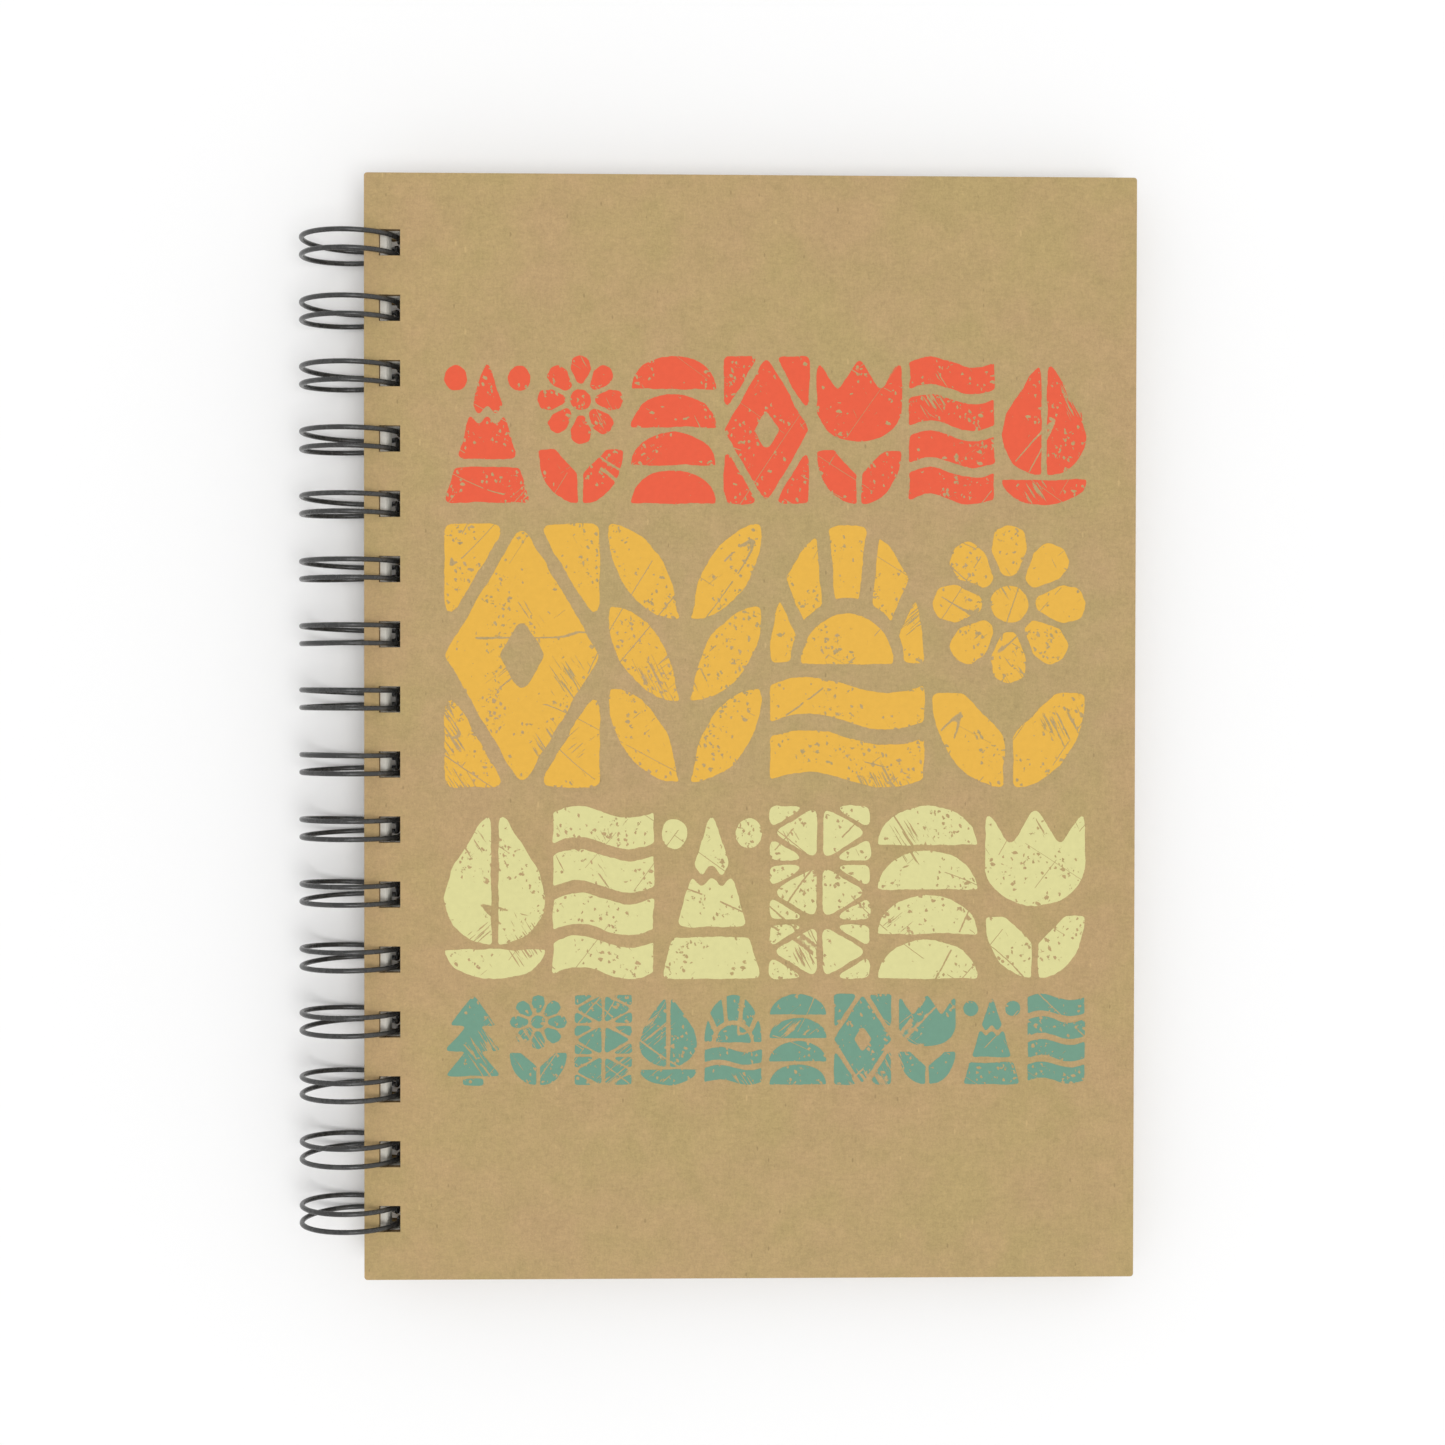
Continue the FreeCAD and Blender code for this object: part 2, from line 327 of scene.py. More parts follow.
def paper_material(paper):
    """Drawing paper with a fine tooth. Each leaf has a tone of its own."""
    material, graph = new_material("drawing_paper")
    place = book_millimetres(graph)
    tooth = graph.noise(place, 1.7, 4.0, 0.68)
    formation = graph.ramp(graph.noise(place, 0.3, 3.0, 0.6), 0.3, 0.7)
    tone = graph.add("ShaderNodeAttribute", {"attribute_name": TONE}, None, 2)
    shade = tone * 0.4 + formation * 0.2 + graph.ramp(tooth, 0.25, 0.75) * 0.4
    base = graph.mix(shade, tuple(c * 0.82 for c in paper), tuple(min(1, c * 1.09) for c in paper))
    return finish_material(material, graph, base, 0.82 + tooth * 0.1, tooth, 0.0001, specular=0.3)


def coating_material(coating):
    """Black nylon coating on the wire: a low sheen with faint ripples and rubbed places."""
    material, graph = new_material("wire_coating")
    place = book_millimetres(graph)
    ripple = graph.noise(place, 1.3, 2.0, 0.5)
    rub = graph.ramp(graph.noise(place, 0.5, 3.0, 0.7), 0.52, 0.8)
    base = graph.mix(rub, coating, tuple(min(1, c * 1.8 + 0.006) for c in coating))
    return finish_material(material, graph, base, 0.27 + rub * 0.2, ripple, 0.00002, specular=0.5)


def steel_material(steel):
    """The sheared steel of the wire's two ends."""
    material, graph = new_material("sheared_steel")
    place = book_millimetres(graph)
    drag = graph.noise(graph.stretch(place, (3.0, 3.0, 18.0)), 1.0, 3.0, 0.6)
    base = graph.mix(drag, tuple(c * 0.7 for c in steel), steel)
    return finish_material(material, graph, base, 0.3 + drag * 0.25, drag, 0.00002, metallic=1.0)


def turned_place(graph, place, angle, seed):
    """The place in axes turned about Z by degrees, moved so that no two uses draw the same noise."""
    return graph.add("ShaderNodeMapping", None, {
        "Vector": place, "Rotation": (0, 0, math.radians(angle)), "Location": (seed, seed, 0),
    })


def scratches(graph, place, angle, seed):
    """Bundles of thin marks at an angle to the spine, dense in a few patches."""
    turned = turned_place(graph, place, angle, seed)
    streak = graph.noise(graph.stretch(turned, (1.9, 0.11, 1.0)), 1.0, 3.0, 0.6, 0.15)
    patch = graph.ramp(graph.noise(turned, 0.06, 1.0, 0.5), 0.6, 0.74)
    return graph.ramp(streak + patch * 0.2, 0.735, 0.75)


def hairlines(graph, place, angle, seed):
    """Single long scratches at an angle to the spine, broken here and there."""
    turned = turned_place(graph, place, angle, seed)
    field = graph.noise(graph.stretch(turned, (0.1, 0.012, 0.1)), 1.0, 0.0)
    fray = (graph.noise(turned, 1.2, 2.0, 0.6) - 0.5) * 0.006
    line = 1 - graph.ramp((field - 0.52 + fray).math("ABSOLUTE"), 0.0022, 0.0036)
    return line * (graph.noise(turned, 0.09, 2.0, 0.6) > 0.52)


def ink_wear(graph, place):
    """Where the ink has gone: 1 in specks that gather in clusters, small rubbed spots and scratches."""
    cluster = graph.ramp(graph.noise(place, 0.12, 2.0, 0.5), 0.42, 0.58)
    bent = graph.add("ShaderNodeVectorMath", {"operation": "ADD"}, {
        0: place, 1: graph.stretch(graph.noise(place, 1.6, 2.0, 0.5), (1.1, -0.9, 0)),
    })
    fine = flecks(graph, graph.stretch(bent, (1.0, 0.7, 1.0)), 0.85, cluster * 0.5 + 0.02, 0.33, 0.8)
    coarse = flecks(graph, graph.stretch(bent, (0.65, 1.0, 1.0)), 1.5, cluster * 0.36 + 0.02, 0.24, 0.8)
    rubbed = graph.ramp(graph.noise(place, 1.1, 4.0, 0.62) + cluster * 0.07, 0.7, 0.715)
    worn = fine.math("MAXIMUM", coarse).math("MAXIMUM", rubbed)
    for angle, seed in ((-33, 11.0), (-27, 83.0), (50, 57.0)):
        worn = worn.math("MAXIMUM", scratches(graph, place, angle, seed))
    for angle, seed in ((35, 29.0), (-58, 141.0)):
        worn = worn.math("MAXIMUM", hairlines(graph, place, angle, seed))
    return worn


def ink_material(name, ink, kraft):
    """Screen ink on kraft, worn through in places."""
    material, graph = new_material(name)
    place = book_millimetres(graph)
    paper, paper_height = kraft_surface(graph, place, kraft)
    cover = 1 - ink_wear(graph, place)
    tone = graph.noise(place, 0.8, 3.0, 0.6)
    film = graph.mix(graph.ramp(tone, 0.3, 0.7), tuple(c * 0.97 for c in ink),
                     tuple(min(1, c * 1.02) for c in ink))
    base = graph.mix(cover, paper, film)
    roughness = 0.86 - cover * 0.2
    height = paper_height * 0.5 + cover * 0.5
    return finish_material(material, graph, base, roughness, height, 0.00005, specular=0.35)


def floor_material(floor):
    """A matt pale floor, smooth to the touch and faintly clouded."""
    material, graph = new_material("floor")
    place = graph.add("ShaderNodeTexCoord", None, None, 3)
    cloud = graph.noise(place, 3.0, 2.0, 0.5)
    base = graph.mix(cloud, tuple(c * 0.99 for c in floor), tuple(floor))
    return finish_material(material, graph, base, 0.9, cloud, 0.0, specular=0.2)


# ---------------------------------------------------------------- meshes


LOOKS_UP = 0.9  # a face looks up where its normal's Z is over this
IS_LEVEL = 0.5  # a face is a flat side, not a cut wall, where its normal's Z is over this, up or down
SAME_POINT = 1e-7  # points nearer to each other than this, in metres, are one
COUNT_SLACK = 1e-6  # a span this much over a whole number of steps still takes that number
CORNER_PARTS = 5  # steps round a corner
RIM_PARTS = 2  # steps round a cut rim


def seat_of(node):
    """The matrix that lays a piece drawn in the book's own axes where a flat CAD node lies."""
    mesh = frame["nodes"][node].data
    up = sum((face.normal * face.area for face in mesh.polygons if face.normal.z > LOOKS_UP), Vector())
    tilt = math.atan2(up.x, up.z)
    return Matrix.Translation(LOOP_CENTRE) @ Matrix.Rotation(tilt, 4, "Y")


def spans_along(values):
    """The distinct values in order, to a hundredth of a millimetre."""
    return sorted({round(value, 5) for value in values})


def punched_outline(node, seat):
    """A CAD plate's outline in the book's own axes: its X lines, Y lines, underside and top.

    The first and last lines are the plate's edges, and those between them are the holes' edges.
    """
    back = seat.inverted()
    points = [back @ vertex.co for vertex in frame["nodes"][node].data.vertices]
    across = spans_along(point.x for point in points)
    along = spans_along(point.y for point in points)
    heights = [point.z for point in points]
    return across, along, min(heights), max(heights)


def divided(lines, step):
    """The lines with more between them, so that none lie further apart than step."""
    found = [lines[0]]
    for start, end in zip(lines, lines[1:]):
        count = max(1, math.ceil((end - start) / step - COUNT_SLACK))
        found += [start + (end - start) * part / count for part in range(1, count + 1)]
    return found


def in_hole(x, y, across, along):
    """Whether a point lies in one of the punched holes."""
    if not across[1] < x < across[2]:
        return False
    return any(low < y < high for low, high in zip(along[1:-1:2], along[2:-1:2]))


def punched_plate(outline, step, corner, rim):
    """A flat plate with a row of punched holes, as a bmesh: corners and cut rims are rounded."""
    across, along, base, top = outline
    mesh = bmesh.new()
    rows = divided(along, step)
    columns = divided(across, step)
    grid = [[mesh.verts.new((x, y, top)) for x in columns] for y in rows]
    for j in range(len(rows) - 1):
        for i in range(len(columns) - 1):
            middle_x = (columns[i] + columns[i + 1]) / 2
            middle_y = (rows[j] + rows[j + 1]) / 2
            if not in_hole(middle_x, middle_y, across, along):
                mesh.faces.new((grid[j][i], grid[j][i + 1], grid[j + 1][i + 1], grid[j + 1][i]))
    grown = bmesh.ops.extrude_face_region(mesh, geom=list(mesh.faces))["geom"]
    for vertex in (item for item in grown if isinstance(item, bmesh.types.BMVert)):
        vertex.co.z = base
    round_corners(mesh, corner, base, top)
    bmesh.ops.recalc_face_normals(mesh, faces=mesh.faces)
    rims = [edge for edge in mesh.edges if is_rim(edge)]
    bmesh.ops.bevel(mesh, geom=rims, offset=rim, segments=RIM_PARTS, profile=0.5, affect="EDGES",
                    clamp_overlap=True)
    return mesh


def is_rim(edge):
    """Whether an edge lies between a flat side and a cut wall."""
    if len(edge.link_faces) != 2:
        return False
    levels = [abs(face.normal.z) > IS_LEVEL for face in edge.link_faces]
    return levels[0] != levels[1]


def round_corners(mesh, corner, base, top):
    """Round the plate's four upright corner edges."""
    mesh.verts.ensure_lookup_table()
    reach_x = [end(vertex.co.x for vertex in mesh.verts) for end in (min, max)]
    reach_y = [end(vertex.co.y for vertex in mesh.verts) for end in (min, max)]
    half = (top - base) / 2
    edges = []
    for edge in mesh.edges:
        first, second = (vertex.co for vertex in edge.verts)
        upright = abs(first.z - second.z) > half
        at_x = any(abs(first.x - x) < SAME_POINT for x in reach_x)
        at_y = any(abs(first.y - y) < SAME_POINT for y in reach_y)
        if upright and at_x and at_y:
            edges.append(edge)
    bmesh.ops.bevel(mesh, geom=edges, offset=corner, segments=CORNER_PARTS, profile=0.5, affect="EDGES",
                    clamp_overlap=True)


def add_piece(name, mesh, seat, body, nodes, materials):
    """Finish a piece drawn in the book's own axes: keep its book place, seat it, and join it to a body."""
    place = mesh.attributes.new(PLACE, "FLOAT_VECTOR", "POINT")
    flat = [axis for vertex in mesh.vertices for axis in vertex.co]
    place.data.foreach_set("vector", flat)
    mesh.transform(seat)
    for material in materials:
        mesh.materials.append(material)
    piece = bpy.data.objects.new(name, mesh)
    bpy.context.scene.collection.objects.link(piece)
    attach(piece, body)
    if nodes:
        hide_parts(*nodes)
    return piece


def as_mesh(name, bm):
    """A finished mesh from a bmesh, which is freed."""
    if not bm.faces:
        raise RuntimeError(f"{name} came out empty")
    mesh = bpy.data.meshes.new(name)
    bm.to_mesh(mesh)
    bm.free()
    return mesh


# ---------------------------------------------------------------- covers


COVER_STEP = 9 * MM  # the widest face of a cover's mesh
LINING_TINT = 1.04  # how much paler the lining is than the facing


class SKETCHBOOK_OT_covers(Operator):
    """Build the three plies of each cover"""

    bl_idname = "sketchbook.covers"
    bl_label = "Covers"

    def execute(self, context):
        settings = context.scene.sketchbook.covers
        kraft = kraft_material("kraft_facing", settings.kraft)
        inside = kraft_material("kraft_lining", tuple(c * LINING_TINT for c in settings.kraft))
        looks = {
            "facing": ("kraft_facing", kraft),
            "board": ("board_core", board_material(settings.board)),
            "lining": ("cover_lining", inside),
        }
        for side in ("front", "back"):
            for ply in PLIES:
                node = f"{side}_cover_{ply}"
                seat = seat_of(node)
                outline = punched_outline(node, seat)
                plate = punched_plate(outline, COVER_STEP, settings.corner, settings.rim)
                slot, material = looks[ply]
                body = "front_cover" if side == "front" else "back_cover"
                add_piece(f"{node}_ply", as_mesh(node, plate), seat, body, [node], [material])
        return {"FINISHED"}


# ---------------------------------------------------------------- leaves


LEAF_STEP = 14 * MM  # the widest face of a leaf's mesh
LEAF_WAVES = 25  # rises and dips of a leaf to the metre
LEAF_APART = 0.7  # the step in the noise from one leaf to the next
TURN_CENTRE = 6 * MM  # from the loops' centre line to the point that a leaf turns about
TURN_ARM = 0.6  # a leaf turns at most by its stagger over this many metres


def ruffle(mesh, shift, turn, wave, number):
    """Lay one leaf a little off the stack and let it rise and dip by less than the air around it."""
    for vertex in mesh.verts:
        x, y = vertex.co.x, vertex.co.y
        vertex.co.x += shift.x - turn * y
        vertex.co.y += shift.y + turn * (x - TURN_CENTRE)
        spot = Vector((x * LEAF_WAVES, y * LEAF_WAVES, number * LEAF_APART))
        vertex.co.z += wave * noise.noise(spot)


class SKETCHBOOK_OT_leaves(Operator):
    """Build the loose leaves, each on its own body"""

    bl_idname = "sketchbook.leaves"
    bl_label = "Leaves"

    def execute(self, context):
        settings = context.scene.sketchbook.leaves
        paper = paper_material(settings.paper)
        draw = random.Random(settings.seed)
        seat = seat_of(LEAF_BODIES[0])
        for number, node in enumerate(LEAF_BODIES):
            across, along, base, top = punched_outline(node, seat)
            trim = draw.uniform(-1, 1) * settings.stagger
            across[-1] += trim
            air = settings.thinning / 2
            outline = (across, along, base + air, top - air)
            plate = punched_plate(outline, LEAF_STEP, settings.corner, settings.rim)
            shift = Vector((draw.uniform(-1, 1), draw.uniform(-1, 1))) * settings.stagger
            turn = draw.uniform(-1, 1) * settings.stagger / TURN_ARM
            ruffle(plate, shift, turn, settings.wave, number)
            mesh = as_mesh(node, plate)
            tone = mesh.attributes.new(TONE, "FLOAT", "POINT")
            tone.data.foreach_set("value", [draw.random()] * len(mesh.vertices))
            add_piece(f"{node}_leaf", mesh, seat, node, [node], [paper])
        return {"FINISHED"}


# ---------------------------------------------------------------- wire


# Angles about the loops' centre line, from the fore edge up over the top of the book.
ROOT_ANGLE = math.radians(-14.8)  # where a loop leaves its bars
TAPER_ANGLE = math.radians(150)  # where its two wires begin to close on each other
TIP_ANGLE = math.radians(330)  # where they join in its tip
LOOP_POINTS = 60  # points along one of a loop's two wires
BEND_PARTS = 7  # steps round each bend
SECTION_SIDES = 12  # sides of the wire's round section
TIP_ROUNDING = 0.49  # radius of the bends at a loop's tip, as a share of its tip spacing

WIRE_INPUTS = {
    "Loops": "NodeSocketInt",
    "Points": "NodeSocketInt",
    "First": "NodeSocketFloat",
    "Pitch": "NodeSocketFloat",
    "Radius": "NodeSocketFloat",
    "Thickness": "NodeSocketFloat",
    "Wide": "NodeSocketFloat",
    "Narrow": "NodeSocketFloat",
    "Bend": "NodeSocketFloat",
    "Stub": "NodeSocketFloat",
    "Sway": "NodeSocketFloat",
    "Seed": "NodeSocketInt",
    "Root angle": "NodeSocketFloat",
    "Taper angle": "NodeSocketFloat",
    "Tip angle": "NodeSocketFloat",
    "Material": "NodeSocketMaterial",
}


def wire_tree():
    """Geometry nodes for one continuous wire: a curve through every loop and bar, given a round section.

    Each loop has Points points up from its head-side bar to the tip, and as many back to the next bar.
    """
    tree = bpy.data.node_groups.new("twin_loop_wire", "GeometryNodeTree")
    tree.interface.new_socket("Geometry", in_out="OUTPUT", socket_type="NodeSocketGeometry")
    for name, kind in WIRE_INPUTS.items():
        tree.interface.new_socket(name, in_out="INPUT", socket_type=kind)
    graph = Graph(tree)
    inputs = tree.nodes.new("NodeGroupInput")
    given = {name: Socket(graph, inputs.outputs[name]) for name in WIRE_INPUTS}
    per_loop = given["Points"] * 2
    count = per_loop * given["Loops"] + 2
    line = graph.add("GeometryNodeMeshLine", None, {"Count": count})
    curve = graph.add("GeometryNodeMeshToCurve", None, {"Mesh": line})

    index = graph.add("GeometryNodeInputIndex")
    step = (index - 1).math("MAXIMUM", 0).math("MINIMUM", count - 3)
    loop = (step / per_loop).math("FLOOR")
    local = step - loop * per_loop
    climb = local.math("MINIMUM", per_loop - 1 - local)
    side = 1 - (local > given["Points"] - 0.5) * 2
    travel = climb / (given["Points"] - 1)
    angle = given["Root angle"] + travel * (given["Tip angle"] - given["Root angle"])
    closing = graph.ramp(angle, given["Taper angle"], given["Taper angle"] + math.pi)
    share = ((closing * math.pi).math("COSINE") + 1) * 0.5
    apart = (given["Narrow"] + (given["Wide"] - given["Narrow"]) * share) * 0.5
    chance = graph.add("FunctionNodeRandomValue", {"data_type": "FLOAT"},
                       {"Min": -1.0, "Max": 1.0, "ID": loop, "Seed": given["Seed"]}, 1)
    lean = chance * given["Sway"] * (1 - angle.math("COSINE")) * 0.5
    ends = ((index < 0.5) - (index > count - 1.5)) * given["Stub"]
    along = given["First"] - loop * given["Pitch"] + side * apart + lean + ends
    place = graph.add("ShaderNodeCombineXYZ", None, {
        0: angle.math("COSINE") * given["Radius"], 1: along, 2: angle.math("SINE") * given["Radius"],
    })
    curve = graph.add("GeometryNodeSetPosition", None, {"Geometry": curve, "Position": place})

    at_bar = (climb < 0.5) * given["Bend"]
    at_tip = (climb > given["Points"] - 1.5) * given["Narrow"] * TIP_ROUNDING
    curve = graph.add("GeometryNodeFilletCurve", {"mode": "POLY"}, {
        "Curve": curve, "Count": BEND_PARTS, "Radius": at_bar + at_tip, "Limit Radius": True,
    })
    section = graph.add("GeometryNodeCurvePrimitiveCircle", {"mode": "RADIUS"},
                        {"Resolution": SECTION_SIDES, "Radius": given["Thickness"] / 2})
    solid = graph.add("GeometryNodeCurveToMesh", None,
                      {"Curve": curve, "Profile Curve": section, "Fill Caps": True})
    solid = graph.add("GeometryNodeRealizeInstances", None, {"Geometry": solid})
    solid = graph.add("GeometryNodeSetMaterial", None,
                      {"Geometry": solid, "Material": given["Material"]})
    graph.add("NodeGroupOutput", None, {"Geometry": solid})
    return tree


def grow(name, tree, values):
    """The plain mesh that a geometry tree makes from named values."""
    holder = bpy.data.objects.new(name, bpy.data.meshes.new(name))
    bpy.context.scene.collection.objects.link(holder)
    modifier = holder.modifiers.new("grow", "NODES")
    modifier.node_group = tree
    for item in tree.interface.items_tree:
        if item.in_out == "INPUT":
            modifier[item.identifier] = values[item.name]
    ready = holder.evaluated_get(bpy.context.evaluated_depsgraph_get())
    mesh = bpy.data.meshes.new_from_object(ready)
    holder.modifiers.clear()
    bpy.data.objects.remove(holder)
    if not mesh.polygons:
        raise RuntimeError(f"{name} came out empty")
    return mesh


class SKETCHBOOK_OT_wire(Operator):
    """Bend the twin-loop wire through the covers and leaves"""

    bl_idname = "sketchbook.wire"
    bl_label = "Wire"

    def execute(self, context):
        settings = context.scene.sketchbook.wire
        seat = seat_of("back_cover_facing")
        _, along, _, _ = punched_outline("back_cover_facing", seat)
        middles = [(low + high) / 2 for low, high in zip(along[1:-1:2], along[2:-1:2])]
        low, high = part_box("twin_loop_wire")
        radius = (high.z - low.z) / 2 - settings.diameter / 2
        coating = coating_material(settings.coating)
        bend_turn = math.atan(settings.bend / radius)
        mesh = grow("twin_loop_wire_coated", wire_tree(), {
            "Loops": len(middles),
            "Points": LOOP_POINTS,
            "First": middles[-1],
            "Pitch": middles[1] - middles[0],
            "Radius": radius,
            "Thickness": settings.diameter,
            "Wide": settings.twin,
            "Narrow": settings.tip,
            "Bend": settings.bend,
            "Stub": settings.stub + settings.bend,
            "Sway": settings.sway,
            "Seed": settings.seed,
            "Root angle": ROOT_ANGLE - bend_turn,
            "Taper angle": TAPER_ANGLE,
            "Tip angle": TIP_ANGLE + bend_turn,
            "Material": coating,
        })
        mesh.materials.clear()
        for face in mesh.polygons:
            is_end = len(face.vertices) > 4
            face.material_index = 1 if is_end else 0
            face.use_smooth = not is_end
        add_piece("twin_loop_wire_coated", mesh, seat, "back_cover", ["twin_loop_wire"],
                  [coating, steel_material(settings.steel)])
        return {"FINISHED"}


# ---------------------------------------------------------------- print


# A motif is a list of outlines in a cell one unit wide and one unit high, with its foot at 0.
ARC_STEP = 9  # degrees between the points of an arc
WAVE_PARTS = 16  # steps along a wavy band
NO_SIDE = 1e-6  # a side shorter than this, in metres, has no corner to round
SHARP = math.radians(30)  # a corner that turns by less than this is left as it is
CORNER_SHARE = 0.45  # the most that rounding one corner takes of either side
ROUND_POINTS = 6  # points round a corner
RAGGED_STEP = 0.4 * MM  # between the points of a ragged outline
SLOW_WANDER = 260  # waves of an outline's wide swings to the metre
FAST_WANDER = 1100  # waves of its small nicks to the metre
NICKS = 0.4  # size of the nicks, as a share of the swings
NICKS_APART = Vector((3, 5, 7))  # keeps the nicks' noise clear of the swings'
CELL_GAP = 0.012  # the gap between motifs, as a share of the print's width
INK_HEIGHT = 0.4  # the film's middle over the cover, as a share of its thickness, so that a tenth sinks in


def arc(cx, cy, rx, ry, start, end):
    """Points along part of an ellipse, between two angles in degrees."""
    count = max(4, int(abs(end - start) / ARC_STEP))
    turns = (math.radians(start + (end - start) * part / count) for part in range(count + 1))
    return [(cx + rx * math.cos(turn), cy + ry * math.sin(turn)) for turn in turns]


def mirrored(outlines):
    """The outlines and their mirror images across the cell's upright middle line."""
    return outlines + [[(1 - x, y) for x, y in reversed(outline)] for outline in outlines]


def wavy_band(level, thick, swing=0.035):
    """A band across the cell that rises and dips once."""
    run = [part / WAVE_PARTS for part in range(WAVE_PARTS + 1)]
    lift = [swing * math.sin(2 * math.pi * part) for part in run]
    lower = [(x, level + y) for x, y in zip(run, lift)]
    return lower + [(x, y + thick) for x, y in reversed(lower)]


def sunrise():
    """A half round under five rays, over two wavy bands."""
    found = [arc(0.5, 0.47, 0.3, 0.19, 0, 180)]
    for number in range(5):
        middle = 14 + 38 * number
        outer = arc(0.5, 0.47, 0.5, 0.53, middle - 14, middle + 14)
        inner = arc(0.5, 0.47, 0.37, 0.25, middle + 12, middle - 12)
        found.append(outer + inner)
    return found + [wavy_band(0.03, 0.16, 0.03), wavy_band(0.25, 0.14, 0.03)]


def pine():
    """A fir of three tiers over a foot."""
    half = [(0.92, 0.66), (0.61, 0.66), (1.0, 0.38), (0.61, 0.38), (1.0, 0.1)]
    foot = [(0.32, 0.0), (0.68, 0.0), (0.68, 0.07), (0.32, 0.07)]
    return [[(0.5, 1.0)] + half + [(1 - x, y) for x, y in reversed(half)], foot]


def scales():
    """Four domes, one above the other."""
    return [arc(0.5, level, 0.5, 0.225, 0, 180) for level in (0.0, 0.258, 0.516, 0.774)]


def blades():
    """A pair of leaves at the cell's foot."""
    return mirrored([[(0.53, 0.0)] + arc(0.53, 0.36, 0.47, 0.36, -80, 0) + [(0.8, 0.36), (0.53, 0.2)]])


def bloom():
    """A daisy of eight petals about a disc, over two leaves."""
    rim = ((0.36, -13), (0.72, -19), (0.95, -12), (1.0, 0), (0.95, 12), (0.72, 19), (0.36, 13))
    found = [arc(0.5, 0.7, 0.12, 0.07, 0, 351)]
    for middle in range(0, 360, 45):
        turned = [(reach, math.radians(middle + aside)) for reach, aside in rim]
        found.append([(0.5 + 0.5 * reach * math.cos(turn), 0.7 + 0.3 * reach * math.sin(turn))
                      for reach, turn in turned])
    return found + blades()


def lozenge():
    """An upright diamond with a smaller one cut out, and wedges in the cell's corners."""
    outer = [(0.5, 0.0), (1.0, 0.5), (0.5, 1.0), (0.0, 0.5)]
    inner = [(0.5 + (x - 0.5) * 0.3, 0.5 + (y - 0.5) * 0.3) for x, y in reversed(outer)]
    return [outer, inner] + mirrored([[(0.6, 0.0), (1.0, 0.0), (1.0, 0.4)],
                                      [(0.6, 1.0), (1.0, 0.6), (1.0, 1.0)]])


def quilt():
    """A chain of three cut squares between half squares, about an upright slit."""
    found = []
    for level in (0.0, 0.344, 0.688):
        high = level + 0.312
        found.append([(0.53, level), (0.98, level + 0.156), (0.53, high)])
        found.append([(0.62, level), (1.0, level), (1.0, level + 0.13)])
        found.append([(0.62, high), (1.0, high - 0.13), (1.0, high)])
    return mirrored(found)


def drop():
    """A drop with a slit up its middle, over a shallow dish."""
    half = arc(0.535, 0.47, 0.465, 0.27, -90, 0) + [(0.94, 0.62), (0.535, 1.0)]
    return mirrored([half]) + [arc(0.5, 0.17, 0.5, 0.17, 180, 360)]


def tulip():
    """A three-pointed bloom over two leaves."""
    left = [(0.0, 1.0), (0.0, 0.66)]
    rim = [(1.0, 1.0), (0.75, 0.76), (0.5, 1.0), (0.25, 0.76)]
    return [left + arc(0.5, 0.66, 0.5, 0.24, 180, 360) + rim] + blades()


def peak():
    """A mountain in three layers, its cap jagged below, with a small disc on either side of it."""
    foot = [(0.0, 0.0), (1.0, 0.0), (0.88, 0.24), (0.12, 0.24)]
    middle = [(0.15, 0.3), (0.85, 0.3), (0.7, 0.6), (0.6, 0.52), (0.5, 0.6), (0.4, 0.52), (0.3, 0.6)]
    cap = [(0.33, 0.66), (0.4, 0.59), (0.5, 0.67), (0.6, 0.59), (0.67, 0.66), (0.5, 1.0)]
    return [foot, middle, cap] + mirrored([arc(0.87, 0.84, 0.13, 0.085, 0, 351)])


def sprig():
    """Three pairs of leaves along a stem."""
    found = []
    for level in (0.0, 0.31, 0.62):
        lower = arc(0.535, level + 0.37, 0.465, 0.35, -90, -6)
        upper = arc(1.0, level + 0.01, 0.45, 0.37, 92, 174)
        found.append(lower + upper)
    return mirrored(found)


def waves():
    """Four wavy bands."""
    return [wavy_band(level, 0.18) for level in (0.035, 0.285, 0.535, 0.785)]


# Each row: its ink, from the head to its top, its height and its corners' rounding in millimetres, and
# its motifs from left to right.
ROWS = (
    ("coral", 35.3, 28.8, 1.1, (peak, bloom, scales, lozenge, tulip, waves, drop)),
    ("amber", 68.1, 51.5, 2.0, (lozenge, sprig, sunrise, bloom)),
    ("straw", 123.2, 33.9, 1.4, (drop, waves, peak, quilt, scales, tulip)),
    ("teal", 160.2, 17.7, 0.6, (pine, bloom, quilt, drop, sunrise, scales, lozenge, tulip, peak, waves)),
)
FULL_RAGGED = ROWS[0][2]  # rows lower than this have an outline that wanders less, in proportion


def soft_loop(points, corner):
    """The outline with its sharp corners rounded, as a closed list of points."""
    found = []
    count = len(points)
    for index, point in enumerate(points):
        before = points[index - 1] - point
        after = points[(index + 1) % count] - point
        if min(before.length, after.length) < NO_SIDE:
            continue
        turn = math.pi - before.angle(after)
        if turn < SHARP:
            found.append(point)
            continue
        most = min(before.length * CORNER_SHARE, after.length * CORNER_SHARE)
        cut = min(corner * math.tan(turn / 2), most)
        start = point + before.normalized() * cut
        end = point + after.normalized() * cut
        for part in range(ROUND_POINTS):
            share = part / (ROUND_POINTS - 1)
            found.append(start.lerp(point, share).lerp(point.lerp(end, share), share))
    return found


